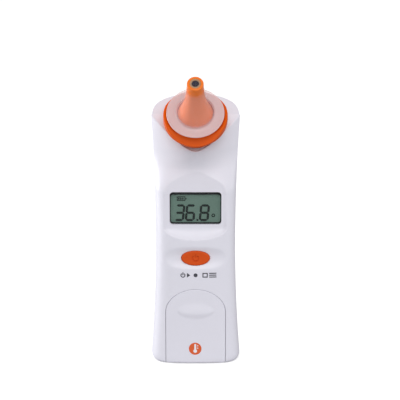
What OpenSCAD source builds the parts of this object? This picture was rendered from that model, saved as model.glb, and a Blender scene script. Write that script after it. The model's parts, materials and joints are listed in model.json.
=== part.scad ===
// Digital ear thermometer: two-part housing with a slanted head, an orange ejector collar round
// the heated probe, a disposable film cover, display, mode and scan buttons, and a coin cell
// behind a sliding door. Origin: centre of the foot. +Z runs up the handle, -Y is the front.

/* [Housing] */
// Half width of the housing at its waist
waist_half_w = 18.1; // [17:0.1:20]
// Height of the waist above the foot
waist_z = 57; // [50:1:64]
// Radius of the side outline below the waist
flare_r_low = 650; // [500:10:900]
// Radius of the side outline above the waist
flare_r_high = 850; // [650:10:1200]
// Wall thickness of the two shells
wall = 1.8; // [1.5:0.1:2.2]
// Distance of the parting plane in front of the foot's centre
seam_y = -1; // [-2:0.1:-0.5]
// Depth of the rear shell along the handle
rear_depth = 11.5; // [11:0.5:13]
// Depth of the rear shell behind the head
rear_head_depth = 13; // [12:0.5:15]

/* [Head] */
// Height at which the slanted end face crosses the parting plane
head_z = 114; // [110:0.5:118]
// Tilt of the probe away from vertical, towards the front
probe_tilt = 50; // [45:1:55]
// Length of the end face behind the parting plane
face_rear = 10.4; // [9:0.1:11]
// Distance of the probe axis from the parting plane, along the end face
axis_offset = 7.5; // [7:0.1:8]

/* [Probe] */
// Radius of the nozzle where it passes through the end face
nozzle_root_r = 7.8; // [7.5:0.1:8]
// Height of the cover's flange above the end face
flange_h = 12.6; // [12:0.1:13.5]
// Length of the nozzle beyond the flange
nozzle_len = 23.8; // [20:0.1:25]
// Radius of the nozzle's tip
tip_r = 3.6; // [3.3:0.1:3.6]
// Radius of the cover's flange
flange_r = 12.7; // [12:0.1:13]
// Radius of the ejector collar's rim
rim_r = 14.2; // [14:0.1:15]

/* [Front features] */
// Height of the display window's centre
window_z = 72.6; // [70:0.1:75]
// Width of the display window
window_w = 23.2; // [22:0.1:24]
// Height of the display window
window_h = 14.8; // [13:0.1:15]
// Height of the mode button's centre
mode_z = 50; // [48:0.5:52]
// Width of the mode button
mode_w = 12.9; // [11:0.1:14]
// Height of the mode button
mode_h = 6.8; // [6:0.1:7]
// Height of the scan button's centre, on the back
scan_z = 92; // [88:1:94]
// Radius of the scan button
scan_r = 5.5; // [5:0.1:5.8]
// Half width of the battery door
door_half_w = 13.6; // [12.5:0.1:13.8]
// Height of the straight part of the battery door
door_straight = 24.2; // [22:0.1:26]
// Height of the battery door's arch above its straight part
door_arch = 11.2; // [9:0.1:12]
// Gap between a moving piece and the shell round it
gap = 0.15; // [0.1:0.05:0.25]

/* [Power] */
// Diameter of the coin cell
cell_d = 20; // [20:0.1:20.2]
// Thickness of the coin cell
cell_t = 3.2; // [3.1:0.1:3.3]

/* [Hidden] */
$fn = 64;

COLUMNS = 24;                     // facets round half a section
corner_r = 3.5;                   // bottom corners, in the front view
foot_edge = 1.2;                  // bottom edge, front and back
edge = 0.7;                       // softened edge of the end face
dome_z = 103;                     // where the rear dome begins
neck_z = 90;                      // where the front sections start to fan out to the end face
head_depth = 12.5;                // front depth of the head, from the parting plane
// front depth of the housing at heights up the handle: foot, crest, display, neck, nose
FRONT = [[0, 10.8], [60, 11.6], [79, 10.9], [neck_z, 9.2], [100, head_depth], [130, head_depth]];
// rows of the shells, as heights up the handle
ROWS = [0, 0.4, 1.2, 3.5, 8, 14, 20, 26, 32, 38, 42, 46, 52, 58, 64, 70, 76, 80, 84, 87, 90, 92.5,
    95, 97.5, 100, 103, 106, 109, 112, 113.4, head_z];
// rows of the battery door
DOOR_ROWS = [0.3, 0.6, 1.2, 3.5, 8, 14, 20, 26, 32, 37];
door_wall = 1.5;
screen_floor = 9.1;               // depth of the display's floor in front of the parting plane
screen_extra = 1.9;               // extra wall behind the display and the button
screen_half_w = 14.3;             // display's recess: half width, an arch above, a sweep below
screen_arch_z = 79;
screen_arch = 10.4;
screen_sweep_z = 64;
screen_sweep = 5.6;
mask_back = -6.95;                // rear face of the display's mask
lcd_back = -5.3;                  // rear face of the display's glass
dish_r = 9.1;                     // finger dish: radius, and distance of its axis from the seam
dish_axis = 19.2;
mode_face = 11.2;                 // how far the mode button stands in front of the parting plane
mode_back = -6.9;                 // rear face of the mode button's flange
scan_face = 13.5;                 // how far the scan button stands behind the parting plane
board_t = 1.6;
board_y = -3.9;                   // front face of the main board
board_back = board_y + board_t;
board_half_w = 13.6;
board_low = 44.5;
board_high = 97;
switch_half = 3;                  // half the side of a tact switch
switch_t = 1.6;                   // thickness of its body
plunger_r = 1.6;
buzzer_z = 58;
sound_hole_r = 0.6;               // holes in the back over the buzzer, one in a ring of six
sound_ring_r = 3;
cell_z = 16;                      // centre of the coin cell
cell_back = -4.2;                 // rear face of the coin cell
boss_r = 2.4;                     // front bosses, which the case screws bite into
sleeve_r = 3.4;                   // rear sleeves round the screw heads
sleeve_top = 8.6;                 // how far back the sleeves reach
head_hole_r = 2.3;
screw_r = 1;
screw_len = 9.5;
board_screw_r = 0.7;
// case screws: side, height, and the depth of the seat under the head
case_screw_spots = [for (x = [-1, 1], p = [[12.5, 41, 4.5], [12.5, 90, 6.4]]) [x * p[0], p[1], p[2]]];
board_screw_spots = [[-11, 57.5], [11, 57.5]];
slope = tan(probe_tilt);          // rise of the end face per millimetre towards the back
axis_y = -axis_offset * cos(probe_tilt);
axis_z = head_z - axis_offset * sin(probe_tilt);
film = 0.35;                      // wall of the probe cover
film_gap = 0.12;                  // between the cover and the nozzle
tip_h = flange_h + nozzle_len;    // height of the nozzle's tip above the end face
guide_r = 2.4;                    // outside of the waveguide
seal_r = nozzle_root_r + 0.35;    // seal and flange under the end face
collar_draw = 1;                  // how much wider than the rim the circle that draws it in is
collar_slant = 25;                // of the cut across the front of the collar
collar_hub = 9.6;                 // radius of the collar's hub, which pushes the cover off
rim_h = 11.6;                     // height of the collar's rim
seal_seat = wall - 0.1;           // the seal is let a little into the plate under the end face

function clamp01(t) = min(1, max(0, t));
function ease(t) = let (c = clamp01(t)) c * c * (3 - 2 * c);
function mix(a, b, t) = a + (b - a) * t;
// eased interpolation through [height, value] pairs
function through(keys, z) = let (i = max([for (k = [0:len(keys) - 2]) z >= keys[k][0] ? k : 0]))
    mix(keys[i][1], keys[i + 1][1], ease((z - keys[i][0]) / (keys[i + 1][0] - keys[i][0])));
function quarter_round(z, r) = z >= r ? 0 : r - sqrt(r * r - (r - z) * (r - z));

// half width and depths of the section at height z, with the wall taken off by inset
function half_w(z, inset) = waist_half_w - inset - quarter_round(z, corner_r)
    + pow(z - waist_z, 2) / 2 / (z < waist_z ? flare_r_low : flare_r_high);
function front_d(z, inset) = through(FRONT, z) - inset - quarter_round(z, foot_edge);
function rear_d(z, inset) = mix(rear_depth, rear_head_depth, ease((z - 60) / 40)) - inset
    - quarter_round(z, foot_edge);

// one quarter of a section, from side (t = 0) to centre (t = 1): the front is full along the
// handle and shaped like a prow at the head
function side_full(z) = mix(0.84, 0.05, ease((z - 80) / 18));
function front_full(z) = mix(0.86, 0.32, ease((z - 80) / 18));
function front_x(t, z) = pow(1 - t, 3) + 3 * pow(1 - t, 2) * t + 3 * (1 - t) * t * t * front_full(z);
function front_y(t, z) = 3 * pow(1 - t, 2) * t * side_full(z) + 3 * (1 - t) * t * t + pow(t, 3);
function rear_x(t) = pow(max(0, cos(90 * t)), 0.85);
function rear_y(t) = pow(max(0, sin(90 * t)), 0.85);

// extra wall that backs the display and the mode button, which are cut deep into the front
function backing(z) = screen_extra * ease((z - 40) / 4) * (1 - ease((z - 88) / 5));

// a point of the front or rear skin: s from 1 (right) to -1 (left), z a row, inset the wall,
// base the lowest height that the skin reaches
function front_point(s, z, inset, base) =
    let (t = 1 - abs(s),
        top = head_z - inset / cos(probe_tilt) - slope * (head_depth - inset) * front_y(t, 130),
        h = z < neck_z ? max(z, base + 0.1 * z) : mix(neck_z, top, (z - neck_z) / (head_z - neck_z)),
        pull = inset + (z < head_z ? 0 : edge),
        depth = front_d(h, pull) - (base > 0 ? backing(h) : 0))
    [sign(s) * half_w(h, pull) * front_x(t, h), -depth * front_y(t, h), h];
function rear_point(s, z, inset, base) =
    let (t = 1 - abs(s),
        top = head_z - inset / cos(probe_tilt) + face_rear * sin(probe_tilt) * rear_y(t),
        a = 90 * clamp01((z - dome_z) / (head_z - dome_z)),
        h = z < dome_z ? max(z, base + 0.1 * z) : mix(dome_z, top, sin(a)),
        low = [half_w(min(h, head_z), inset) * rear_x(t), rear_d(h, inset) * rear_y(t)],
        end = [(waist_half_w - edge - inset + pow(head_z - waist_z, 2) / 2 / flare_r_high)
            * rear_x(t), (face_rear * cos(probe_tilt) - inset / 2) * rear_y(t)],
        at = mix(end, low, pow(cos(a), 0.8)))
    [sign(s) * at[0], at[1], h];

// a thin half: outer and inner skins over the same rows and columns, joined round the parting
// plane. With plates it is a shell with a floor at the foot and a plate under the end face;
// without them it is a band open at both ends.
module half_skin(front, rows, inner, plates) {
    cols = COLUMNS + 1;
    last = len(rows) - 1;
    skin = cols * (last + 1);
    function at(i, j, inset) = let (s = 1 - 2 * j / COLUMNS, base = plates ? inset : 0)
        front ? front_point(s, rows[i], inset, base) : rear_point(s, rows[i], inset, base);
    points = [for (inset = [0, inner], i = [0:last], j = [0:COLUMNS]) at(i, j, inset)];
    function quad(a, b, c, d, flip) = flip ? [[a, c, b], [a, d, c]] : [[a, b, c], [a, c, d]];
    function row(k, i) = [for (j = [0:COLUMNS]) k * skin + i * cols + j];
    function turned(list, flip) = flip ? [for (j = [len(list) - 1:-1:0]) list[j]] : list;
    grids = [for (k = [0, 1], i = [0:last - 1], j = [0:COLUMNS - 1], f = quad(
        k * skin + i * cols + j, k * skin + (i + 1) * cols + j, k * skin + (i + 1) * cols + j + 1,
        k * skin + i * cols + j + 1, (k == 1) != front)) f];
    sides = [for (i = [0:last - 1], j = [0, COLUMNS], f = quad(
        i * cols + j, (i + 1) * cols + j, skin + (i + 1) * cols + j, skin + i * cols + j,
        (j == COLUMNS) != front)) f];
    bridges = [for (i = [0, last], f = quad(i * cols, i * cols + COLUMNS,
        skin + i * cols + COLUMNS, skin + i * cols, (i == 0) != front)) f];
    caps = [for (k = [0, 1], i = [0, last]) turned(row(k, i), ((k == 0) != (i == 0)) == front)];
    rims = [for (i = [0, last], j = [0:COLUMNS - 1], f = quad(i * cols + j, i * cols + j + 1,
        skin + i * cols + j + 1, skin + i * cols + j, (i == 0) == front)) f];
    polyhedron(points, plates ? concat(grids, sides, bridges, caps) : concat(grids, sides, rims),
        convexity = 6);
}

// frames to build in: from the parting plane, and along the probe from the end face
module at_seam() translate([0, seam_y, 0]) children();
module on_probe_axis() at_seam() translate([0, axis_y, axis_z]) rotate([probe_tilt, 0, 0])
    children();
// an outline in x and z extruded from depth y0 back to y1, a rod along y, a box about x = 0
module along_y(y0, y1) translate([0, y1, 0]) rotate([90, 0, 0]) linear_extrude(y1 - y0) children();
module rod_y(x, z, r, y0, y1) translate([x, y1, z]) rotate([90, 0, 0]) cylinder(r = r, h = y1 - y0);
module box_at(half, y0, y1, z0, z1) translate([-half, y0, z0]) cube([2 * half, y1 - y0, z1 - z0]);
// a tube round the probe axis
module tube(r0, r1, h0, h1) rotate_extrude() translate([r0, h0]) square([r1 - r0, h1 - h0]);

module rounded_rect(w, h, r) {
    square([w - 2 * r, h], center = true);
    square([w, h - 2 * r], center = true);
    for (x = [-1, 1], y = [-1, 1]) translate([x * (w / 2 - r), y * (h / 2 - r)]) circle(r);
}
function arc(a, b, z, from, to, steps) =
    [for (i = [0:steps]) let (u = mix(from, to, i / steps)) [a * cos(u), z + b * sin(u)]];
module oval(w, h, z, steps = 48) polygon(arc(w / 2, h / 2, z, 0, 360 - 360 / steps, steps - 1));
module door_outline(grow) polygon(concat([[-door_half_w - grow, -5], [door_half_w + grow, -5]],
    arc(door_half_w + grow, door_arch + grow, door_straight, 0, 180, 32)));
module screen_outline() polygon(concat(
    arc(screen_half_w, screen_arch, screen_arch_z, 0, 180, 24),
    arc(screen_half_w, screen_sweep, screen_sweep_z, 180, 360, 16)));
// the nozzle's bore, with the seat of its seal under the end face
module nozzle_bore() translate([0, axis_y, axis_z]) rotate([probe_tilt, 0, 0]) {
    cylinder(r = nozzle_root_r, h = 20, center = true);
    translate([0, 0, -4]) cylinder(r = seal_r + 0.1, h = 4 - seal_seat);
}

module front_shell() color("whitesmoke") at_seam() difference() {
    union() {
        half_skin(true, ROWS, wall, true);
        for (p = case_screw_spots) rod_y(p[0], p[1], boss_r, p[2] - screw_len - 0.6, -0.1);
        for (p = board_screw_spots) rod_y(p[0], p[1], boss_r - 0.6, -8, board_y);
    }
    // display floor, its window and the pocket behind it
    along_y(-20, -screen_floor) screen_outline();
    along_y(-20, -5) translate([0, window_z]) rounded_rect(window_w, window_h, 1.5);
    box_at(13.9, -7.6, 1, 62.5, 83);
    // finger dish and hole of the mode button
    translate([0, -dish_axis, mode_z]) rotate([0, 90, 0]) cylinder(r = dish_r, h = 60, center = true);
    along_y(-20, -5) oval(mode_w + 2 * gap, mode_h + 2 * gap, mode_z);
    along_y(-20, -5.5) door_outline(gap);
    for (p = case_screw_spots) rod_y(p[0], p[1], screw_r, p[2] - screw_len - 0.1, 1);
    for (p = board_screw_spots) rod_y(p[0], p[1], board_screw_r, -7, 1);
    nozzle_bore();
}
// sleeve round a screw, its top drawn down at the side to stay inside the curve of the back
module sleeve(p) intersection() {
    rod_y(p[0], p[1], sleeve_r, 0, sleeve_top);
    translate([0, 0, p[1] - 2 * sleeve_r]) linear_extrude(4 * sleeve_r)
        polygon([for (c = [[8, -1], [8, 10], [12, 9], [16.5, 5.3], [16.5, -1]])
            [sign(p[0]) * c[0], c[1]]]);
}
module rear_shell() color("whitesmoke") at_seam() difference() {
    union() {
        half_skin(false, ROWS, wall, true);
        for (p = case_screw_spots) sleeve(p);
    }
    for (p = case_screw_spots) {
        rod_y(p[0], p[1], screw_r, -1, 30);
        rod_y(p[0], p[1], head_hole_r, p[2], 30);
    }
    rod_y(0, scan_z, scan_r + gap, 5, 30);
    rod_y(0, buzzer_z, sound_hole_r, 5, 30);
    for (a = [0:60:300])
        rod_y(sound_ring_r * cos(a), buzzer_z + sound_ring_r * sin(a), sound_hole_r, 5, 30);
    nozzle_bore();
}
module battery_door() color("whitesmoke") at_seam() {
    intersection() {
        half_skin(true, DOOR_ROWS, door_wall, false);
        along_y(-20, -6) door_outline(0);
    }
    box_at(door_half_w - 1, -9.6, -5.9, 0.3, 1.7);
    hull() {
        along_y(-10.8, -10.6) oval(15.5, 8.1, 25.4, 32);
        along_y(-11.8, -11.7) oval(9, 1.5, 24, 32);
    }
}
module display_lens() color("lightgray", 0.4) at_seam() along_y(-8.9, -7.7)
    translate([0, window_z]) rounded_rect(window_w - 0.1, window_h - 0.1, 1.45);
module display_mask() color("dimgray") at_seam() difference() {
    along_y(mask_back - 0.6, mask_back) translate([0, window_z]) rounded_rect(27, 18.6, 1);
    along_y(-10, -5) translate([0, window_z - 0.4]) rounded_rect(22.4, 12.8, 1.2);
}
module lcd_glass() color("darkseagreen") at_seam() box_at(13, lcd_back - 1.6, lcd_back, 64.2, 81.6);
module zebra_strips() color("pink") at_seam() for (z = [64.4, 79.4])
    box_at(12, lcd_back, board_y, z, z + 2);
module main_board() color("seagreen") at_seam() difference() {
    along_y(board_y, board_back) polygon([[-board_half_w, board_low], [board_half_w, board_low],
        [board_half_w, 86], [9, 88], [9, board_high], [-9, board_high], [-9, 88],
        [-board_half_w, 86]]);
    for (p = board_screw_spots) rod_y(p[0], p[1], 1, -20, 20);
}
module board_chips() color("black") at_seam() {
    rod_y(0, 75, 4.5, board_back, board_back + 1);
    box_at(2.5, board_back, board_back + 1.5, 84, 87);
    translate([7, board_back, 66]) cube([4, 1, 5]);
    translate([-11, board_back, 66]) cube([4, 1, 5]);
}
module mode_button() color("orangered") at_seam() {
    along_y(0.4 - mode_face, mode_back - 0.4) oval(mode_w, mode_h, mode_z);
    hull() {
        along_y(0.3 - mode_face, 0.4 - mode_face) oval(mode_w, mode_h, mode_z);
        along_y(-mode_face, 0.1 - mode_face) oval(mode_w - 1, mode_h - 1, mode_z);
    }
    along_y(mode_back - 0.4, mode_back) oval(mode_w + 1.6, mode_h + 1.6, mode_z);
    rod_y(0, mode_z, 1.5, mode_back, mode_back + 0.2);
}
module mode_switch() color("silver") at_seam() {
    box_at(switch_half, board_y - switch_t, board_y, mode_z - switch_half, mode_z + switch_half);
    rod_y(0, mode_z, plunger_r, mode_back + 0.85, board_y - switch_t);
}
module scan_button() color("orangered") at_seam() {
    rod_y(0, scan_z, scan_r, 10, scan_face - 0.6);
    translate([0, scan_face - 0.6, scan_z]) rotate([-90, 0, 0]) cylinder(r1 = scan_r,
        r2 = scan_r - 0.7, h = 0.6);
    rod_y(0, scan_z, scan_r + 1.1, 9.4, 10);
    rod_y(0, scan_z, 1.5, 0.7, 9.4);
}
module scan_switch() color("silver") at_seam() {
    box_at(switch_half, board_back, board_back + switch_t, scan_z - switch_half,
        scan_z + switch_half);
    rod_y(0, scan_z, plunger_r, board_back + switch_t, 0);
}
module buzzer() color("black") at_seam() difference() {
    rod_y(0, buzzer_z, 6.5, board_back, board_back + 3.2);
    rod_y(0, buzzer_z, 1, board_back + 1, board_back + 4);
}
module battery_tray() color("gainsboro") at_seam() difference() {
    box_at(12, -7.6, -2.9, 2.4, 36.8);
    rod_y(0, cell_z, cell_d / 2 + 0.15, -9, cell_back + 0.25);
    box_at(2.7, -9, cell_back + 0.25, 8.5, 40);
    translate([7.3, -9, 11.5]) cube([3.4, 9 + cell_back + 0.25, 30]);
}
module battery_cell() color("silver") at_seam() {
    rod_y(0, cell_z, cell_d / 2, cell_back - cell_t, cell_back - 0.5);
    rod_y(0, cell_z, cell_d / 2 - 1.2, cell_back - 0.5, cell_back);
}
module battery_contact_positive() color("goldenrod") at_seam() {
    translate([10.2, cell_back - 2.8, 12]) cube([0.35, 2.8, 18.5]);
    translate([7.5, cell_back, 29]) cube([3.05, 0.25, 1.5]);
    translate([7.5, cell_back, 30.5]) cube([1.5, 0.25, 15.5]);
}
module battery_contact_negative() color("goldenrod") at_seam() {
    box_at(2.5, cell_back, cell_back + 0.25, 9, 24);
    box_at(1.2, cell_back, cell_back + 0.25, 24, 46);
}
module screw(head_y, tip_y, r, head_r) {
    rod_y(0, 0, r, tip_y, head_y);
    difference() {
        rod_y(0, 0, head_r, head_y, head_y + 1.4);
        for (u = [0, 90]) translate([0, head_y + 1.4, 0]) rotate([0, u, 0])
            cube([2 * head_r * 0.6, 1.2, 0.4], center = true);
    }
}
module case_screws() color("silver") at_seam() for (p = case_screw_spots)
    translate([p[0], 0, p[1]]) screw(p[2], p[2] - screw_len, screw_r, 2);
module board_screws() color("silver") at_seam() for (p = board_screw_spots)
    translate([p[0], 0, p[1]]) screw(board_back, -6.5, board_screw_r, 1.5);
module probe_nozzle() color("orangered") on_probe_axis() rotate_extrude() polygon([
    [guide_r, -3.2], [seal_r, -3.2], [seal_r, -2.3], [nozzle_root_r, -2.3], [nozzle_root_r, flange_h],
    [7.1, flange_h + 1.3], [6, flange_h + 5], [4.8, flange_h + 11], [tip_r + 0.3, flange_h + 17],
    [tip_r, tip_h - 0.4], [tip_r - 0.4, tip_h], [guide_r, tip_h]]);
module nozzle_seal() color("dimgray") on_probe_axis() tube(nozzle_root_r, seal_r, -2.3,
    -seal_seat);
module waveguide() color("gold") on_probe_axis() tube(1.6, guide_r, tip_h - 9, tip_h - 0.1);
module sensor_window() color("gray") on_probe_axis() translate([0, 0, tip_h - 0.9])
    cylinder(r = 1.6, h = 0.5);
module sensor_holder() color("peru") on_probe_axis() {
    tube(1.5, guide_r, tip_h - 10, tip_h - 9);
    tube(2.2, guide_r, tip_h - 22, tip_h - 10);
}
module sensor_can() color("silver") on_probe_axis() translate([0, 0, tip_h - 13])
    cylinder(r = 2.2, h = 3);
// flat strip from the sensor down the probe's axis to the back of the board
module sensor_flex() color("orange") at_seam() {
    n = [-sin(probe_tilt), cos(probe_tilt)];
    path = [[axis_y, axis_z] + n * (tip_h - 13.2), [axis_y, axis_z] - n * 5, [board_back + 0.8, 100],
        [board_back + 0.1, 96.5], [board_back + 0.1, 95.3]];
    for (i = [0:len(path) - 2]) hull() for (p = [path[i], path[i + 1]])
        translate([-1.2, p[0] - 0.1, p[1] - 0.1]) cube([2.4, 0.2, 0.2]);
}
// flared collar: drawn in at the back and cut on a slant at the front, so that its outline
// follows the pointed end face
module eject_ring() color("orangered") on_probe_axis() difference() {
    intersection() {
        rotate_extrude() polygon([[nozzle_root_r + 0.2, 0.3], [10.2, 0.3], [10.6, 1.2], [11.8, 4.2],
            [rim_r, 7.5], [rim_r, 10.8], [rim_r - 0.5, 11.4], [rim_r - 1.2, rim_h],
            [12.6, 11], [11.8, 10.4], [collar_hub, 10.2], [collar_hub - 0.2, flange_h - 0.2],
            [nozzle_root_r + 0.2, flange_h - 0.2]]);
        translate([0, flange_r - rim_r - collar_draw, 0])
            cylinder(r = rim_r + collar_draw, h = flange_h);
    }
    difference() {
        translate([0, -rim_r, 7.5]) rotate([collar_slant, 0, 0]) translate([-20, -5, 0])
            cube([40, 30, 10]);
        cylinder(r = collar_hub, h = 2 * flange_h);
    }
}
module probe_cover() color("mistyrose", 0.6) on_probe_axis() {
    g = film_gap;
    f = film + film_gap;
    h = flange_h;
    // outer radius of the film's cone at heights above the flange
    cone = [[8.3, 1.3], [7.1, 4.7], [6.1, 7.6], [5.3, 11], [4.5, 15.6]];
    rotate_extrude() polygon(concat([[nozzle_root_r + g, h], [flange_r, h], [flange_r, h + 0.6],
        [9, h + 0.5]], [for (c = cone) [c[0], h + c[1]]], [[tip_r + f, tip_h - 0.2],
        [tip_r - 0.3, tip_h + f], [0, tip_h + f], [0, tip_h + g], [tip_r - 0.4, tip_h + g],
        [tip_r + g, tip_h - 0.4]], [for (i = [len(cone) - 1:-1:0]) [cone[i][0] - film,
        h + cone[i][1]]]));
}

front_shell();
rear_shell();
battery_door();
display_lens();
display_mask();
lcd_glass();
zebra_strips();
main_board();
board_chips();
mode_button();
mode_switch();
scan_button();
scan_switch();
buzzer();
battery_tray();
battery_cell();
battery_contact_positive();
battery_contact_negative();
case_screws();
board_screws();
probe_nozzle();
nozzle_seal();
waveguide();
sensor_holder();
sensor_can();
sensor_window();
sensor_flex();
eject_ring();
probe_cover();
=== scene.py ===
import json
import math

import bmesh
import bpy
import numpy as np
from mathutils import Vector
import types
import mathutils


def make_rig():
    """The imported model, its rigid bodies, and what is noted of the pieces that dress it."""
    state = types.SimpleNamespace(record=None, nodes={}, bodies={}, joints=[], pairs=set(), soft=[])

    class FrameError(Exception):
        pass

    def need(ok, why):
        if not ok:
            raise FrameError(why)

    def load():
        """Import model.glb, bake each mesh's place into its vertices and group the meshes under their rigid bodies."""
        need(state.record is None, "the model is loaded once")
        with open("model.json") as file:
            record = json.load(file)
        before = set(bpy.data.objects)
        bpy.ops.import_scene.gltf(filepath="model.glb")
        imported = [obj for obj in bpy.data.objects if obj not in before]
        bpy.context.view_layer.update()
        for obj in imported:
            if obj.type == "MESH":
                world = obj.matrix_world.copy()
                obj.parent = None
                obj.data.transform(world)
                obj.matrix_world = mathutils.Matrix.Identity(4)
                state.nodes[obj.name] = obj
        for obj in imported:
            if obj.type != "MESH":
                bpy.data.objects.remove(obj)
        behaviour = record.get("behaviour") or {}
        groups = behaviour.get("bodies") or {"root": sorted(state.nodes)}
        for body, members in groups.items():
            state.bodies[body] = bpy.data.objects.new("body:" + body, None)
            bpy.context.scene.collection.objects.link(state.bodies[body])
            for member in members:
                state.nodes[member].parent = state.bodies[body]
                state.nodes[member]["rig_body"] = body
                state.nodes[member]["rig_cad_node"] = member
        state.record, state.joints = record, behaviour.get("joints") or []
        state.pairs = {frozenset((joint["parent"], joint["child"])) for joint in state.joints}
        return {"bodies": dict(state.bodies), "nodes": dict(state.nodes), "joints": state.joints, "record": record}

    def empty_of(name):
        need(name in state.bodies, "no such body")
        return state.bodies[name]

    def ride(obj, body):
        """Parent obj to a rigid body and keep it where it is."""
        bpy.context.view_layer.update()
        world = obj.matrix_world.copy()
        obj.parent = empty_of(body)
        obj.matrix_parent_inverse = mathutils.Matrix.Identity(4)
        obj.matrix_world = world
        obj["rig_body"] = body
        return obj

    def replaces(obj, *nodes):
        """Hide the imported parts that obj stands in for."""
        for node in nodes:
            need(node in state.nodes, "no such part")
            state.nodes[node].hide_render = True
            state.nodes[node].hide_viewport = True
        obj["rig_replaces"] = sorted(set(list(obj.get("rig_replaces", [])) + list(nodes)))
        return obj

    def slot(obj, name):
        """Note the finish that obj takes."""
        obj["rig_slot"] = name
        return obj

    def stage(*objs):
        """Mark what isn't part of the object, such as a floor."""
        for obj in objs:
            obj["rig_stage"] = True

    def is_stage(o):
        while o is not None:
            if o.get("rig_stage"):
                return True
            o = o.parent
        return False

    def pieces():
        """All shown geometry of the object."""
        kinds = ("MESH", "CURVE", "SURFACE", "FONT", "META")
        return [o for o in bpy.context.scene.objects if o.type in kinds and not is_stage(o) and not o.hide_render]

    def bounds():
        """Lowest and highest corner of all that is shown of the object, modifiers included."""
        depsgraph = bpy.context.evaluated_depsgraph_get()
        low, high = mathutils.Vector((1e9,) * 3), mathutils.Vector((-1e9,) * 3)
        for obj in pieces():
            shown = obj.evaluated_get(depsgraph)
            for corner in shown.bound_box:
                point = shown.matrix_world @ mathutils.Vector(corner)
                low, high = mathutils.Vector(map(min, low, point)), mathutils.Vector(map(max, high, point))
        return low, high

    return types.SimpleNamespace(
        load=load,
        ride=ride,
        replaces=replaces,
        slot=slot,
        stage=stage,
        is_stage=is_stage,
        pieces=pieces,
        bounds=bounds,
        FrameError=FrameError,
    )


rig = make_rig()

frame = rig.load()
cad_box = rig.bounds()

# ---------------------------------------------------------------- camera
# A long lens a little above the display's height, looking slightly down on the standing
# thermometer from straight in front. Sizes below are in millimetres until a mesh is made.
MM = 0.001
look_at = Vector((2.0, -1.0, 74.5)) * MM
camera_distance = 0.6
camera_elevation = math.radians(12)
camera = bpy.data.objects.new("camera", bpy.data.cameras.new("camera"))
camera.data.lens = 118.8
camera.location = look_at + camera_distance * Vector(
    (0, -math.cos(camera_elevation), math.sin(camera_elevation)))
camera.rotation_euler = (math.pi / 2 - camera_elevation, 0, 0)
bpy.context.collection.objects.link(camera)
bpy.context.scene.camera = camera
bpy.context.scene.view_settings.view_transform = "Standard"


# ---------------------------------------------------------------- housing shells
# Two thin injection-moulded halves of white ABS, joined at a parting line round the sides. The
# tool's sides were spark-eroded, which leaves a very fine, even grain with a soft sheen.
SEAM_Y = -1.0            # the parting plane, in front of the foot's centre
WAIST_W, WAIST_Z = 18.1, 57.0
FLARE_LOW, FLARE_HIGH = 650.0, 850.0
CORNER_R, FOOT_EDGE = 3.5, 1.2
HEAD_Z, DOME_Z, NECK_Z = 114.0, 103.0, 90.0
TILT = math.radians(50)  # of the probe away from vertical, towards the front
FACE_REAR, EDGE_R = 10.4, 0.7
HEAD_DEPTH = 12.5
WALL = 1.8
SEAM_GAP, SEAM_CHAMFER = 0.06, 0.14   # half the gap at the parting line, and the eased corner beside it
# front depth from the parting plane at foot, crest, display, neck and nose
FRONT_DEPTH = ((0, 10.8), (60, 11.6), (79, 10.9), (NECK_Z, 9.2), (100, HEAD_DEPTH), (130, HEAD_DEPTH))
SCREEN_FLOOR = 9.1       # depth of the display's floor
SCREEN_W, SCREEN_LOW, SCREEN_HIGH = 14.3, 64.0, 79.0
SCREEN_ARCH, SCREEN_SWEEP = 10.4, 5.6
MODE_Z = 50.0
DISH_R, DISH_AXIS = 9.1, 19.2
NOZZLE_ROOT_R = 7.8


def ease(t):
    t = np.clip(t, 0, 1)
    return t * t * (3 - 2 * t)


def mix(a, b, t):
    return a + (b - a) * t


def through(keys, z):
    """Eased interpolation through (height, value) pairs."""
    value = np.full(np.shape(z), float(keys[0][1]))
    for (z0, v0), (z1, v1) in zip(keys, keys[1:]):
        value = np.where(z >= z0, mix(v0, v1, ease((z - z0) / (z1 - z0))), value)
    return value


def quarter_round(z, radius):
    up = np.clip(radius - z, 0, radius)
    return radius - np.sqrt(radius * radius - up * up)


def half_width(z):
    flare = np.where(z < WAIST_Z, FLARE_LOW, FLARE_HIGH)
    return WAIST_W - quarter_round(z, CORNER_R) + (z - WAIST_Z) ** 2 / 2 / flare


def front_depth(z):
    return through(FRONT_DEPTH, z) - quarter_round(z, FOOT_EDGE)


def rear_depth(z):
    return mix(11.5, 13.0, ease((z - 60) / 40)) - quarter_round(z, FOOT_EDGE)


def front_section(t, z):
    """One quarter of a front section, from side (0) to centre (1), as shares of width and depth."""
    prow = ease((z - 80) / 18)
    side, centre = mix(0.84, 0.05, prow), mix(0.86, 0.32, prow)
    a, b = 1 - t, t
    return a ** 3 + 3 * a * a * b + 3 * a * b * b * centre, 3 * a * a * b * side + 3 * a * b * b + b ** 3


def screen_recess(x, z, y):
    """The front with the display's recess scooped into it: y is the plain front."""
    side = np.clip((SCREEN_W - np.abs(x)) / 2.3, 0, 1)
    sweep = SCREEN_SWEEP * np.sqrt(np.clip(1 - (x / SCREEN_W) ** 2, 0, 1))
    low = np.clip((z - SCREEN_LOW + sweep) / np.maximum(sweep, 0.6), 0, 1)
    reach = np.sqrt((x / SCREEN_W) ** 2 + (np.clip(z - SCREEN_HIGH, 0, None) / SCREEN_ARCH) ** 2)
    high = np.where(z > SCREEN_HIGH, np.clip((1 - reach) * 7, 0, 1), 1)
    share = (1 - (1 - side) ** 2) * (1 - (1 - low) ** 2) * (1 - (1 - high) ** 2)
    return mix(y, np.maximum(y, -SCREEN_FLOOR), share)


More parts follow.
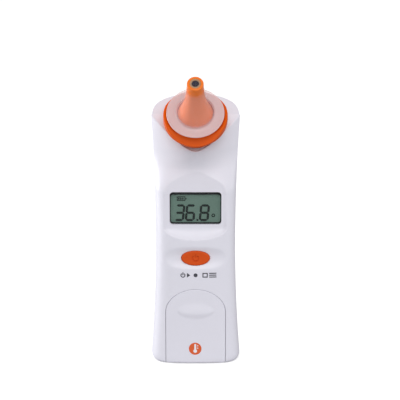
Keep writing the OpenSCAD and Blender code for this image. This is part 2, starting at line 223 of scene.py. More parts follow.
def finger_dish(z, y):
    """A cylinder lying across the front scoops an almond round the button; its edge is softened."""
    away = np.clip(DISH_R ** 2 - (z - MODE_Z) ** 2, 0, None)
    cut = -DISH_AXIS + np.sqrt(away)
    blend = 0.25
    high, low = np.maximum(y, cut), np.minimum(y, cut)
    return high + blend * np.clip(1 - (high - low) / (3 * blend), 0, None) ** 2 * 0.5


def front_surface(x, z):
    """Depth y of the finished front, from the parting plane, over points x, z of the handle."""
    share = np.abs(x) / half_width(z)
    low, high = np.zeros(np.shape(share)), np.ones(np.shape(share))
    for _ in range(30):
        t = (low + high) / 2
        wide = front_section(t, z)[0] > share
        low, high = np.where(wide, t, low), np.where(wide, high, t)
    y = -front_depth(z) * front_section((low + high) / 2, z)[1]
    return finger_dish(z, screen_recess(x, z, y))


def front_skin(s, row, inset):
    """A grid of the front: s from 1 (right) to -1 (left), rows up the handle."""
    t = 1 - np.abs(s)
    rim = np.clip((row - HEAD_Z + EDGE_R) / EDGE_R, 0, 1)
    row = np.where(rim > 0, HEAD_Z - EDGE_R + EDGE_R * np.sin(rim * np.pi / 2), row)
    pull = inset + EDGE_R * (1 - np.cos(rim * np.pi / 2))
    top = HEAD_Z - inset / math.cos(TILT) - math.tan(TILT) * (HEAD_DEPTH - inset) * front_section(t, 130)[1]
    z = np.where(row < NECK_Z, np.maximum(row, inset * (1 + row / 400)),
                 mix(NECK_Z, top, (row - NECK_Z) / (HEAD_Z - NECK_Z)))
    across, deep = front_section(t, z)
    x = np.sign(s) * (half_width(z) - pull - SEAM_CHAMFER * (t == 0)) * across
    thick = pull + (1.9 * ease((z - 40) / 4) * (1 - ease((z - 88) / 5)) if inset else 0)
    y = -(front_depth(z) - thick) * deep
    if not inset:
        y = finger_dish(z, screen_recess(x, z, y))
    return x, np.minimum(y, -SEAM_GAP), z


def rear_skin(s, row, inset):
    """A grid of the back, with the dome of the head."""
    t = (1 - np.abs(s)) * np.pi / 2
    across, deep = np.cos(t).clip(0) ** 0.85, np.sin(t).clip(0) ** 0.85
    top = HEAD_Z - inset / math.cos(TILT) + FACE_REAR * math.sin(TILT) * deep
    a = np.clip((row - DOME_Z) / (HEAD_Z - DOME_Z), 0, 1) * np.pi / 2
    z = np.where(row < DOME_Z, np.maximum(row, inset * (1 + row / 400)), mix(DOME_Z, top, np.sin(a)))
    shrink = np.cos(a) ** 0.8
    end_w = half_width(HEAD_Z) - EDGE_R - inset
    end_d = FACE_REAR * math.cos(TILT) - inset / 2
    x = np.sign(s) * (mix(end_w, half_width(np.minimum(z, HEAD_Z)) - inset, shrink) * across
                      - SEAM_CHAMFER * (np.abs(s) == 1))
    y = mix(end_d, rear_depth(z) - inset, shrink) * deep
    return x, np.maximum(y, SEAM_GAP), z


def mesh_piece(name, points, faces, smooth_under=35):
    """A closed mesh from points in millimetres measured from the parting plane."""
    mesh = bpy.data.meshes.new(name)
    mesh.from_pydata([(x * MM, (y + SEAM_Y) * MM, z * MM) for x, y, z in points], [], faces)
    piece = bpy.data.objects.new(name, mesh)
    bpy.context.collection.objects.link(piece)
    return outward(piece, smooth_under)


def outward(piece, smooth_under=35):
    """Faces point outwards, and edges sharper than the angle stay crisp."""
    work = bmesh.new()
    work.from_mesh(piece.data)
    bmesh.ops.remove_doubles(work, verts=work.verts, dist=1e-7)
    bmesh.ops.recalc_face_normals(work, faces=work.faces)
    work.to_mesh(piece.data)
    work.free()
    piece.data.polygons.foreach_set("use_smooth", [True] * len(piece.data.polygons))
    piece.data.set_sharp_from_angle(angle=math.radians(smooth_under))
    return piece


def stitch(a, b):
    """Triangles between two chains of (index, height), joined in order of height."""
    faces, i, j = [], 0, 0
    while i < len(a) - 1 or j < len(b) - 1:
        step_a = j == len(b) - 1 or (i < len(a) - 1 and a[i + 1][1] <= b[j + 1][1])
        if step_a:
            faces.append((a[i][0], a[i + 1][0], b[j][0]))
            i += 1
        else:
            faces.append((a[i][0], b[j + 1][0], b[j][0]))
            j += 1
    return faces


def shell_half(name, skin, columns, rows):
    """A shell from a fine outer skin and a coarse inner one, joined round the parting plane."""
    points, faces, edges, ends = [], [], [], []
    for inset, s, row in ((0, columns, rows), (WALL, columns[::4], rows[::4])):
        base, wide = len(points), len(s)
        x, y, z = skin(*np.meshgrid(s, row), inset)
        points += list(zip(x.ravel(), y.ravel(), z.ravel()))
        faces += [(base + i * wide + j, base + (i + 1) * wide + j, base + (i + 1) * wide + j + 1,
                   base + i * wide + j + 1) for i in range(len(row) - 1) for j in range(wide - 1)]
        bottom = [base + j for j in range(wide)]
        top = [base + (len(row) - 1) * wide + j for j in range(wide)]
        faces += [bottom, top]
        edges.append([[(base + i * wide + j, i / (len(row) - 1)) for i in range(len(row))]
                      for j in (0, wide - 1)])
        ends.append(((bottom[0], bottom[-1]), (top[0], top[-1])))
    for side in (0, 1):
        faces += stitch(edges[0][side], edges[1][side])
    faces += [(a, b, d, c) for (a, b), (c, d) in zip(*ends)]
    return mesh_piece(name, points, faces)


def spaced(*stretches):
    """Values along stretches of (start, end, count), without doubles."""
    values = [np.linspace(a, b, n, endpoint=False) for a, b, n in stretches]
    return np.concatenate(values + [[stretches[-1][1]]])


def prism(name, outline, y0, y1):
    """An outline of (x, z) points extruded from depth y0 to y1."""
    n = len(outline)
    points = [(x, y, z) for y in (y0, y1) for x, z in outline]
    faces = [list(range(n)), list(range(2 * n - 1, n - 1, -1))]
    faces += [(i, i + n, (i + 1) % n + n, (i + 1) % n) for i in range(n)]
    return mesh_piece(name, points, faces)


def oval(w, h, z, steps=96):
    turn = np.arange(steps) * 2 * np.pi / steps
    return list(zip(w / 2 * np.cos(turn), z + h / 2 * np.sin(turn)))


def rounded_rect(w, h, z, r, steps=8):
    turn = np.linspace(0, np.pi / 2, steps + 1)
    return [(sx * (w / 2 - r) + r * math.cos(a + q), z + sz * (h / 2 - r) + r * math.sin(a + q))
            for sx, sz, q in ((1, 1, 0), (-1, 1, np.pi / 2), (-1, -1, np.pi), (1, -1, 1.5 * np.pi))
            for a in turn]


def shaped(piece, tools, operation):
    """Cuts the tools from the piece, or adds them to it, and throws the tools away."""
    for tool in tools:
        cut = piece.modifiers.new("cut", "BOOLEAN")
        cut.object, cut.operation, cut.solver = tool, operation, "EXACT"
        plain(piece)
        bpy.data.objects.remove(tool)
    return outward(piece, 30)


def plain(piece):
    """The modifiers' result becomes the piece's own mesh."""
    seen = piece.evaluated_get(bpy.context.evaluated_depsgraph_get())
    mesh = bpy.data.meshes.new_from_object(seen)
    piece.modifiers.clear()
    piece.data = mesh


def rod(name, x, z, r, y0, y1, steps=48):
    return prism(name, oval(2 * r, 2 * r, z, steps) if x == 0 else
                 [(x + a, b) for a, b in oval(2 * r, 2 * r, z, steps)], y0, y1)


AXIS = Vector((0, -math.sin(TILT), math.cos(TILT)))
AXIS_OFFSET = 7.5
AXIS_FOOT = Vector((0, SEAM_Y - AXIS_OFFSET * math.cos(TILT), HEAD_Z - AXIS_OFFSET * math.sin(TILT)))


def turned(name, profile, steps=96, smooth_under=35):
    """A closed profile of (radius, height) turned about the probe's axis."""
    n = len(profile)
    frame_x, frame_y = Vector((1, 0, 0)), AXIS.cross(Vector((1, 0, 0)))
    points = []
    for k in range(steps):
        a = 2 * math.pi * k / steps
        out = frame_x * math.cos(a) + frame_y * math.sin(a)
        points += [AXIS_FOOT + out * r + AXIS * h - Vector((0, SEAM_Y, 0)) for r, h in profile]
    faces = [(k * n + i, k * n + (i + 1) % n, (k + 1) % steps * n + (i + 1) % n, (k + 1) % steps * n + i)
             for k in range(steps) for i in range(n)]
    return mesh_piece(name, points, faces, smooth_under)


DOOR_W, DOOR_STRAIGHT, DOOR_ARCH = 13.6, 24.2, 11.2
GAP = 0.15
WINDOW_Z, WINDOW_W, WINDOW_H = 72.6, 23.2, 14.8
MODE_W, MODE_H = 12.9, 6.8
SCAN_Z, SCAN_R = 92.0, 5.5
BUZZER_Z, SOUND_HOLE_R, SOUND_RING_R = 58.0, 0.6, 3.0
CASE_SCREWS = [(x, z, seat) for x in (-12.5, 12.5) for z, seat in ((41, 4.5), (90, 6.4))]


def sleeve(x, z, r=3.4, top=8.6, steps=48):
    """A screw's sleeve, its top drawn down at the side to stay inside the curve of the back."""
    ring = [(x + a, b) for a, b in oval(2 * r, 2 * r, z, steps)]
    points = [(a, 0.02, b) for a, b in ring]
    points += [(a, min(top, 9 - (abs(a) - 12) * 0.822), b) for a, b in ring] + [(x, top - 0.01, z)]
    faces = [list(range(steps))]
    for i in range(steps):
        j = (i + 1) % steps
        faces += [(i, i + steps, j + steps, j), (i + steps, 2 * steps, j + steps)]
    return mesh_piece("sleeve", points, faces)


def door_outline(grow):
    turn = np.linspace(0, np.pi, 65)
    arch = [((DOOR_W + grow) * math.cos(a), DOOR_STRAIGHT + (DOOR_ARCH + grow) * math.sin(a)) for a in turn]
    return [(-DOOR_W - grow, -5), (DOOR_W + grow, -5)] + arch


half_columns = spaced((0, 0.009, 1), (0.009, 0.45, 16), (0.45, 1, 52))
front_columns = np.concatenate([1 - half_columns, -(1 - half_columns[::-1])[1:]])
front_rows = spaced((0, 1.2, 6), (1.2, 3.6, 6), (3.6, 44.5, 40), (44.5, 56, 38), (56, 91, 112),
                    (91, HEAD_Z - EDGE_R, 30), (HEAD_Z - EDGE_R, HEAD_Z, 4))
front = shell_half("front_shell_abs", front_skin, front_columns, front_rows)
shaped(front, [rod("boss", x, z, 2.4, seat - 10.1, -0.1) for x, z, seat in CASE_SCREWS], "UNION")
shaped(front, [
    prism("window", rounded_rect(WINDOW_W, WINDOW_H, WINDOW_Z, 1.5), -20, -5),
    prism("pocket", rounded_rect(27.8, 20.5, 72.75, 0.5), -7.6, -2),
    prism("button", oval(MODE_W + 2 * GAP, MODE_H + 2 * GAP, MODE_Z), -20, -5),
    prism("door", door_outline(GAP), -20, -5.5),
    turned("bore", [(0, -9), (NOZZLE_ROOT_R, -9), (NOZZLE_ROOT_R, 9), (0, 9)])]
    + [rod("hole", x, z, 1, seat - 9.6, 1) for x, z, seat in CASE_SCREWS], "DIFFERENCE")

rear_columns = np.cos(np.linspace(0, np.pi, 97))
rear_rows = spaced((0, 1.2, 6), (1.2, 3.6, 6), (3.6, DOME_Z, 80), (DOME_Z, HEAD_Z, 32))
rear = shell_half("rear_shell_abs", rear_skin, rear_columns, rear_rows)
shaped(rear, [sleeve(x, z) for x, z, seat in CASE_SCREWS], "UNION")
shaped(rear, [rod("hole", x, z, 2.3, seat, 30) for x, z, seat in CASE_SCREWS]
       + [rod("hole", 0, SCAN_Z, SCAN_R + GAP, 5, 30), rod("sound", 0, BUZZER_Z, SOUND_HOLE_R, 5, 30, 24)]
       + [rod("sound", SOUND_RING_R * math.cos(a), BUZZER_Z + SOUND_RING_R * math.sin(a), SOUND_HOLE_R, 5, 30, 24)
          for a in np.arange(6) * math.pi / 3] + [
          turned("bore", [(0, -9), (NOZZLE_ROOT_R, -9), (NOZZLE_ROOT_R, 9), (0, 9)])], "DIFFERENCE")
shaped(rear, [rod("hole", x, z, 1, -1, 8) for x, z, seat in CASE_SCREWS], "DIFFERENCE")


def linear(hex_code):
    """An sRGB hex colour as linear red, green, blue and alpha."""
    parts = [int(hex_code[i:i + 2], 16) / 255 for i in (1, 3, 5)]
    return [p / 12.92 if p <= 0.04045 else ((p + 0.055) / 1.055) ** 2.4 for p in parts] + [1]


def add(tree, kind, inputs=(), **settings):
    """Adds a node with its settings; inputs is {socket: value or another node's output}."""
    node = tree.nodes.new(kind)
    for key, value in settings.items():
        setattr(node, key, value)
    for socket, value in dict(inputs).items():
        if isinstance(value, bpy.types.NodeSocket):
            tree.links.new(value, node.inputs[socket])
        else:
            node.inputs[socket].default_value = value
    return node


def finish_of(name, colour, roughness, **more):
    """A material with one Principled shader; returns the material, its tree and the shader."""
    material = bpy.data.materials.new(name)
    material.use_nodes = True
    shader = material.node_tree.nodes["Principled BSDF"]
    shader.inputs["Base Color"].default_value = linear(colour)
    shader.inputs["Roughness"].default_value = roughness
    for key, value in more.items():
        shader.inputs[key.replace("_", " ")].default_value = value
    return material, material.node_tree, shader


def grained(tree, shader, grain_mm, depth_mm, colours=None, strength=0.5):
    """A moulded surface's grain: a bump, and a slight change of colour with it."""
    where = add(tree, "ShaderNodeTexCoord").outputs["Object"]
    noise = add(tree, "ShaderNodeTexNoise", {"Vector": where, "Scale": 1 / (grain_mm * MM), "Detail": 3.0})
    bump = add(tree, "ShaderNodeBump", {"Height": noise.outputs["Fac"], "Strength": strength,
                                        "Distance": depth_mm * MM})
    tree.links.new(bump.outputs["Normal"], shader.inputs["Normal"])
    if colours:
        broad = add(tree, "ShaderNodeTexNoise", {"Vector": where, "Scale": 60.0, "Detail": 2.0})
        tint = add(tree, "ShaderNodeMix", {"Factor": broad.outputs["Fac"]}, data_type="RGBA")
        tint.inputs[6].default_value, tint.inputs[7].default_value = map(linear, colours)
        tree.links.new(tint.outputs[2], shader.inputs["Base Color"])


# White ABS from a spark-eroded tool: grain of about 0.1 mm, drawn at 0.25 mm so that it shows.
abs_white, tree, shader = finish_of("ABS white spark-eroded", "#e7e6f0", 0.42, IOR=1.53)
grained(tree, shader, 0.25, 0.01, ("#e6e5ef", "#e9e8f2"), 0.35)
for piece, node in ((front, "front_shell"), (rear, "rear_shell")):
    piece.data.materials.append(abs_white)
    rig.ride(piece, "housing")
    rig.replaces(piece, node)
    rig.slot(piece, "shell_white")


# ---------------------------------------------------------------- case screws
# Four pan-head screws of zinc-plated steel, each deep in a sleeve of the rear shell. They are cold
# headed, then cross-recessed, and no two end up at the same angle.
def ringed(name, rings, x, z, steps=96, smooth_under=35):
    """A closed stack of ellipses (half width, half height, depth y) round a line along y."""
    points = [(x, rings[0][2], z)]
    turn = np.arange(steps) * 2 * np.pi / steps
    for a, b, y in rings:
        points += [(x + a * math.cos(u), y, z + b * math.sin(u)) for u in turn]
    points.append((x, rings[-1][2], z))
    faces = [(0, 1 + k, 1 + (k + 1) % steps) for k in range(steps)]
    for i in range(len(rings) - 1):
        base = 1 + i * steps
        faces += [(base + k, base + (k + 1) % steps, base + steps + (k + 1) % steps, base + steps + k)
                  for k in range(steps)]
    base = 1 + (len(rings) - 1) * steps
    faces += [(len(points) - 1, base + (k + 1) % steps, base + k) for k in range(steps)]
    return mesh_piece(name, points, faces, smooth_under)


def copies_tree():
    """Geometry Nodes: a copy of a part on every point, turned about y, then made one mesh."""
    tree = bpy.data.node_groups.new("copies on points", "GeometryNodeTree")
    face = tree.interface
    face.new_socket("Points", in_out="INPUT", socket_type="NodeSocketGeometry")
    face.new_socket("Part", in_out="INPUT", socket_type="NodeSocketObject")
    face.new_socket("Size", in_out="INPUT", socket_type="NodeSocketFloat")
    face.new_socket("Random turn", in_out="INPUT", socket_type="NodeSocketFloat")
    face.new_socket("Finish", in_out="INPUT", socket_type="NodeSocketMaterial")
    face.new_socket("Copies", in_out="OUTPUT", socket_type="NodeSocketGeometry")
    given = add(tree, "NodeGroupInput").outputs
    part = add(tree, "GeometryNodeObjectInfo", {"Object": given["Part"]})
    own_turn = add(tree, "GeometryNodeInputNamedAttribute", {"Name": "turn"}, data_type="FLOAT")
    chance = add(tree, "FunctionNodeRandomValue", {"Max": given["Random turn"], "Seed": 7})
    turn = add(tree, "ShaderNodeMath", {0: own_turn.outputs["Attribute"], 1: chance.outputs[1]},
               operation="ADD")
    about_y = add(tree, "ShaderNodeCombineXYZ", {"Y": turn.outputs[0]})
    copies = add(tree, "GeometryNodeInstanceOnPoints", {
        "Points": given["Points"], "Instance": part.outputs["Geometry"],
        "Rotation": about_y.outputs[0], "Scale": given["Size"]})
    solid = add(tree, "GeometryNodeRealizeInstances", {"Geometry": copies.outputs[0]})
    done = add(tree, "GeometryNodeSetMaterial", {"Geometry": solid.outputs[0], "Material": given["Finish"]})
    add(tree, "NodeGroupOutput", {"Copies": done.outputs[0]})
    return tree


copies = copies_tree()


def copies_of(name, part, spots, finish, random_turn=0.0, size=1.0):
    """One mesh of the part at every spot (x, y, z, turn); the part itself is thrown away."""
    mesh = bpy.data.meshes.new(name)
    mesh.from_pydata([(x * MM, (y + SEAM_Y) * MM, z * MM) for x, y, z, turn in spots], [], [])
    mesh.attributes.new("turn", "FLOAT", "POINT").data.foreach_set("value", [spot[3] for spot in spots])
    piece = bpy.data.objects.new(name, mesh)
    bpy.context.collection.objects.link(piece)
    placing = piece.modifiers.new("copies", "NODES")
    placing.node_group = copies
    wanted = {"Part": part, "Size": size, "Random turn": random_turn, "Finish": finish}
    for socket in copies.interface.items_tree:
        if socket.in_out == "INPUT" and socket.name in wanted:
            placing[socket.identifier] = wanted[socket.name]
    plain(piece)
    bpy.data.objects.remove(part)
    return outward(piece)


def finished(piece, material, body, node=None, slot=None):
    """Gives a new piece its material and body, and the CAD node and slot that it stands for."""
    if not piece.data.materials:
        piece.data.materials.append(material)
    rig.ride(piece, body)
    if node:
        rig.replaces(piece, node)
    if slot:
        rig.slot(piece, slot)
    return piece


def brushed(tree, shader, line_mm, depth_mm, squeeze=(1, 1, 30)):
    """Fine parallel lines, as drawing or rolling leaves on metal: noise stretched along one way."""
    where = add(tree, "ShaderNodeTexCoord").outputs["Object"]
    stretch = add(tree, "ShaderNodeMapping", {"Vector": where, "Scale": squeeze})
    noise = add(tree, "ShaderNodeTexNoise", {"Vector": stretch.outputs[0], "Scale": 1 / (line_mm * MM) / 30})
    bump = add(tree, "ShaderNodeBump", {"Height": noise.outputs["Fac"], "Strength": 0.4,
                                        "Distance": depth_mm * MM})
    tree.links.new(bump.outputs["Normal"], shader.inputs["Normal"])
    rough = add(tree, "ShaderNodeMapRange", {"Value": noise.outputs["Fac"], "To Min": 0.22, "To Max": 0.42})
    tree.links.new(rough.outputs[0], shader.inputs["Roughness"])


# Zinc plate over steel: bluish and bright, with the faint cloudiness of the bath.
zinc_steel, tree, shader = finish_of("steel zinc-plated", "#c3c6ca", 0.3, Metallic=1.0)
grained(tree, shader, 0.3, 0.004, ("#b7babf", "#cdd0d3"), 0.3)
SCREW_R, HEAD_R, HEAD_T, SCREW_LEN = 1.0, 2.0, 1.4, 9.5


def screw_part(shank_r, head_r, length):
    """A pan head with a cross recess, its seat at y = 0 and its thread running to -y."""
    thread = [(shank_r * (1 if k % 2 else 0.8),) * 2 + (-length + 0.6 + k * 0.25,)
              for k in range(int((length - 0.8) / 0.25))]
    rings = [(0.2, 0.2, -length), (0.6 * shank_r, 0.6 * shank_r, -length + 0.3)] + thread
    rings += [(shank_r, shank_r, 0), (head_r, head_r, 0), (head_r, head_r, 0.5 * HEAD_T),
              (0.94 * head_r, 0.94 * head_r, 0.78 * HEAD_T), (0.78 * head_r, 0.78 * head_r, 0.94 * HEAD_T),
              (0.5 * head_r, 0.5 * head_r, HEAD_T)]
    part = ringed("screw", [(a, b, y - SEAM_Y) for a, b, y in rings], 0, 0, 32, 40)
    arm, half = 0.6 * head_r, 0.2 * shank_r
    cross = [(arm, half), (half, half), (half, arm), (-half, arm), (-half, half), (-arm, half),
             (-arm, -half), (-half, -half), (-half, -arm), (half, -arm), (half, -half), (arm, -half)]
    return shaped(part, [prism("recess", cross, 0.45 * HEAD_T - SEAM_Y, 2 * HEAD_T - SEAM_Y)], "DIFFERENCE")


case_screws = copies_of("case_screws_zinc", screw_part(SCREW_R, HEAD_R, SCREW_LEN),
                        [(x, seat, z, 0) for x, z, seat in CASE_SCREWS], zinc_steel, math.tau)
finished(case_screws, zinc_steel, "housing", "case_screws", "screw_steel")


# ---------------------------------------------------------------- battery door
# An arched door of the same ABS, which slides down off the front. A raised bump gives the thumb
# its purchase, and a lip along the foot closes the compartment. Its edges carry a small radius.
DOOR_LOW, DOOR_WALL, DOOR_EASE = 0.3, 1.5, 0.25
BUMP_Z, BUMP_W, BUMP_H, BUMP_RISE = 25.4, 16.6, 8.8, 0.65


def thumb_bump(x, z):
    """Height of the bump: it climbs fast from its lower edge and eases away to nothing above."""
    share = np.sqrt(np.clip(1 - (2 * x / BUMP_W) ** 2, 0, 1))
    up = (z - BUMP_Z) * 2 / BUMP_H / np.maximum(share, 0.05)
    return BUMP_RISE * share * ease((up + 1) / 0.75) * ease((1 - up) / 1.35)


def door_grid(shrink, depth, bump=True):
    """Points of the door, its outline drawn in by shrink, at a depth behind the front surface."""
    s = np.sin(np.linspace(-0.5, 0.5, 97) * np.pi)
    share, row = np.meshgrid(s, np.linspace(0, 1, 131))
    x = (DOOR_W - shrink) * share
    low = DOOR_LOW + shrink
    top = DOOR_STRAIGHT + (DOOR_ARCH - shrink) * np.sqrt(np.clip(1 - share ** 2, 0, 1))
    z = mix(low, top, row)
    y = front_surface(x, z) + depth - (thumb_bump(x, z) if bump else 0)
    return np.dstack([x, y, z])


def door_panel(name):
    layers = [door_grid(DOOR_EASE, 0), door_grid(0.3 * DOOR_EASE, 0.3 * DOOR_EASE),
              door_grid(0, DOOR_EASE), door_grid(0, DOOR_WALL, False)]
    rows, wide = layers[0].shape[:2]
    rim = ([(0, j) for j in range(wide)] + [(i, wide - 1) for i in range(1, rows)]
           + [(rows - 1, j) for j in range(wide - 2, -1, -1)] + [(i, 0) for i in range(rows - 2, 0, -1)])
    points, faces = [], []
    for grid in (layers[0], layers[-1]):
        base = len(points)
        points += [tuple(p) for p in grid.reshape(-1, 3)]
        faces += [(base + i * wide + j, base + i * wide + j + 1, base + (i + 1) * wide + j + 1,
                   base + (i + 1) * wide + j) for i in range(rows - 1) for j in range(wide - 1)]
    chains = [[i * wide + j for i, j in rim]]
    for grid in layers[1:-1]:
        chains.append([len(points) + k for k in range(len(rim))])
        points += [tuple(grid[i, j]) for i, j in rim]
    chains.append([rows * wide + i * wide + j for i, j in rim])
    for a, b in zip(chains, chains[1:]):
        faces += [(a[k], a[(k + 1) % len(rim)], b[(k + 1) % len(rim)], b[k]) for k in range(len(rim))]
    return mesh_piece(name, points, faces)


door = door_panel("battery_door_abs")
lip = prism("lip", [(-12.6, 0.3), (12.6, 0.3), (12.6, 1.7), (-12.6, 1.7)], -9.9, -5.9)
shaped(door, [lip], "UNION")
finished(door, abs_white, "battery_door", "battery_door", "shell_white")


# ---------------------------------------------------------------- printed badge on the door
# A pad-printed orange disc with a white thermometer on it, low on the door. The ink lies a few
# hundredths of a millimetre proud of the plastic and follows its curve.
def printed(name, outlines, surface, proud=0.03, cell=0.6):
    """Ink on a curved face: flat outlines cut into cells and laid on surface(x, z)."""
    work = bmesh.new()
    for outline in outlines:
        work.faces.new([work.verts.new((x, 0, z)) for x, z in outline])
    spots = [v.co.copy() for v in work.verts]
    for axis, way in ((0, Vector((1, 0, 0))), (2, Vector((0, 0, 1)))):
        low, high = min(p[axis] for p in spots), max(p[axis] for p in spots)
        for k in range(1, int((high - low) / cell) + 1):
            bmesh.ops.bisect_plane(work, geom=work.verts[:] + work.edges[:] + work.faces[:],
                                   plane_co=way * (low + k * cell), plane_no=way)
    flat = work.faces[:]
    back = bmesh.ops.extrude_face_region(work, geom=flat)
    behind = [v for v in back["geom"] if isinstance(v, bmesh.types.BMVert)]
    far = set(behind)
    for v in work.verts:
        y = float(surface(np.array(v.co.x), np.array(v.co.z)))
        v.co.y = y + (0.1 if v in far else -proud)
    for v in work.verts:
        v.co = Vector((v.co.x, v.co.y + SEAM_Y, v.co.z)) * MM
    bmesh.ops.recalc_face_normals(work, faces=work.faces)
    mesh = bpy.data.meshes.new(name)
    work.to_mesh(mesh)
    work.free()
    piece = bpy.data.objects.new(name, mesh)
    bpy.context.collection.objects.link(piece)
    return piece


def arc(x, z, r, start, end, steps):
    """Points on a circle about (x, z), from one angle in degrees to another."""
    turn = np.radians(np.linspace(start, end, steps))
    return list(zip(x + r * np.cos(turn), z + r * np.sin(turn)))


def on_door(x, z):
    return front_surface(x, z) - thumb_bump(x, z)


def ink(name, colour):
    """Pad-printing ink: thin, matt, and a little uneven where the pad lifted."""
    material, tree, shader = finish_of(name, colour, 0.6)
    grained(tree, shader, 0.2, 0.004, None, 0.4)
    return material


ink_orange = ink("ink orange pad-printed", "#e1602c")
ink_white = ink("ink white pad-printed", "#f2f0f4")
BADGE_X, BADGE_Z, BADGE_R = -0.2, 7.3, 2.9
badge = printed("badge_disc", [arc(BADGE_X, BADGE_Z, BADGE_R, 0, 350, 36)], on_door)
finished(badge, ink_orange, "battery_door")
BULB_Z, BULB_R, STEM_R, STEM_TOP = BADGE_Z - 1.1, 0.85, 0.4, BADGE_Z + 1.9
neck = math.degrees(math.acos(STEM_R / BULB_R))
glyph = arc(BADGE_X, BULB_Z, BULB_R, 180 - neck, 360 + neck, 17) + arc(BADGE_X, STEM_TOP, STEM_R, 0, 180, 9)
badge_glyph = printed("badge_thermometer", [glyph] + [
    [(BADGE_X + 0.75, z), (BADGE_X + 1.45, z), (BADGE_X + 1.45, z + 0.25), (BADGE_X + 0.75, z + 0.25)]
    for z in (BADGE_Z, BADGE_Z + 0.7, BADGE_Z + 1.4)], on_door, 0.05)
finished(badge_glyph, ink_white, "battery_door")


# ---------------------------------------------------------------- battery compartment
# A tray of grey ABS holds the coin cell against two sprung contacts of nickel-plated strip. The
# cell is a pressed steel can with a rolled edge, nickel plated and very smooth.
def dress(material, *nodes):
    """Puts a material on CAD nodes whose shape is right as it is."""
    for node in nodes:
        slots = frame["nodes"][node].data.materials
        slots.clear()
        slots.append(material)


def eased(name, node, width_mm):
    """A copy of a CAD node with its flats made whole and its edges broken by a small bevel."""
    piece = frame["nodes"][node].copy()
    piece.data = piece.data.copy()
    piece.name, piece.parent = name, None
    for key in [k for k in piece.keys() if k.startswith("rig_")]:
        del piece[key]
    bpy.context.collection.objects.link(piece)
    work = bmesh.new()
    work.from_mesh(piece.data)
    bmesh.ops.remove_doubles(work, verts=work.verts, dist=1e-7)
    bmesh.ops.dissolve_limit(work, angle_limit=math.radians(1), verts=work.verts, edges=work.edges)
    work.to_mesh(piece.data)
    work.free()
    piece.data.materials.clear()
    bevel = piece.modifiers.new("edges", "BEVEL")
    bevel.width, bevel.segments, bevel.limit_method = width_mm * MM, 2, "ANGLE"
    bevel.angle_limit = math.radians(40)
    plain(piece)
    return outward(piece, 30)


abs_grey, tree, shader = finish_of("ABS light grey", "#c9cacd", 0.5, IOR=1.53)
grained(tree, shader, 0.25, 0.012, ("#c4c5c9", "#cdced1"), 0.4)
nickel, tree, shader = finish_of("steel nickel-plated", "#cfcdc6", 0.25, Metallic=1.0)
grained(tree, shader, 0.35, 0.003, ("#c6c3ba", "#d6d4ce"), 0.3)
# Nickel on phosphor bronze strip, drawn with 0.3 mm rolling lines so that they show.
nickel_strip, tree, shader = finish_of("nickel strip rolled", "#cbc6b6", 0.3, Metallic=1.0)
brushed(tree, shader, 0.3, 0.004)

CELL_R, CELL_Z, CELL_BACK, CELL_T = 10.0, 16.0, -4.2, 3.2
CAN_FRONT = CELL_BACK - CELL_T
cell_profile = [(CELL_R - 0.5, CAN_FRONT), (CELL_R - 0.15, CAN_FRONT + 0.15), (CELL_R, CAN_FRONT + 0.5),
                (CELL_R, CELL_BACK - 0.7), (CELL_R - 0.2, CELL_BACK - 0.5), (CELL_R - 1.2, CELL_BACK - 0.5),
                (CELL_R - 1.3, CELL_BACK - 0.2), (CELL_R - 1.6, CELL_BACK)]
cell = ringed("battery_cell_steel", [(r, r, y) for r, y in cell_profile], 0, CELL_Z)
plus = [(2, 0.35), (0.35, 0.35), (0.35, 2), (-0.35, 2), (-0.35, 0.35), (-2, 0.35),
        (-2, -0.35), (-0.35, -0.35), (-0.35, -2), (0.35, -2), (0.35, -0.35), (2, -0.35)]
shaped(cell, [prism("plus", [(a, CELL_Z + 4 + b) for a, b in plus], CAN_FRONT - 1, CAN_FRONT + 0.08)],
       "DIFFERENCE")
finished(cell, nickel, "housing", "battery_cell", "cell_steel")
finished(eased("battery_tray_abs", "battery_tray", 0.2), abs_grey, "housing", "battery_tray", "tray_grey")
for node in ("battery_contact_positive", "battery_contact_negative"):
    finished(eased(node + "_strip", node, 0.05), nickel_strip, "housing", node, "contact_nickel")


# ---------------------------------------------------------------- display
# A reflective liquid crystal cell behind a screen-printed black mask and a clear PMMA lens. The
# segments are the crystal itself turned dark, a hair in front of the grey-green reflector.
lens = prism("display_lens_pmma", rounded_rect(WINDOW_W - 0.1, WINDOW_H - 0.1, WINDOW_Z, 1.45), -8.9, -7.7)
bevel = lens.modifiers.new("edges", "BEVEL")
bevel.width, bevel.segments, bevel.limit_method = 0.25 * MM, 3, "ANGLE"
plain(lens)
# Clear PMMA: what is behind it shows almost unchanged, under a smooth surface gloss.
pmma, tree, shader = finish_of("PMMA clear", "#20262a", 0.06, IOR=1.49, Alpha=0.07)
grained(tree, shader, 3.0, 0.004, None, 0.2)
finished(outward(lens), pmma, "housing", "display_lens", "lens_clear")

mask_ink, tree, shader = finish_of("screen ink black", "#17191b", 0.35)
grained(tree, shader, 0.3, 0.004, ("#141618", "#1b1d1f"), 0.3)
dress(mask_ink, "display_mask")
reflector, tree, shader = finish_of("LCD polariser and reflector", "#739083", 0.4, Coat_Weight=0.2)
grained(tree, shader, 0.35, 0.004, ("#6e8b7e", "#789588"), 0.25)
dress(reflector, "lcd_glass")
crystal, tree, shader = finish_of("liquid crystal dark", "#15211e", 0.45)
grained(tree, shader, 0.3, 0.002, ("#121d1a", "#1a2824"), 0.3)

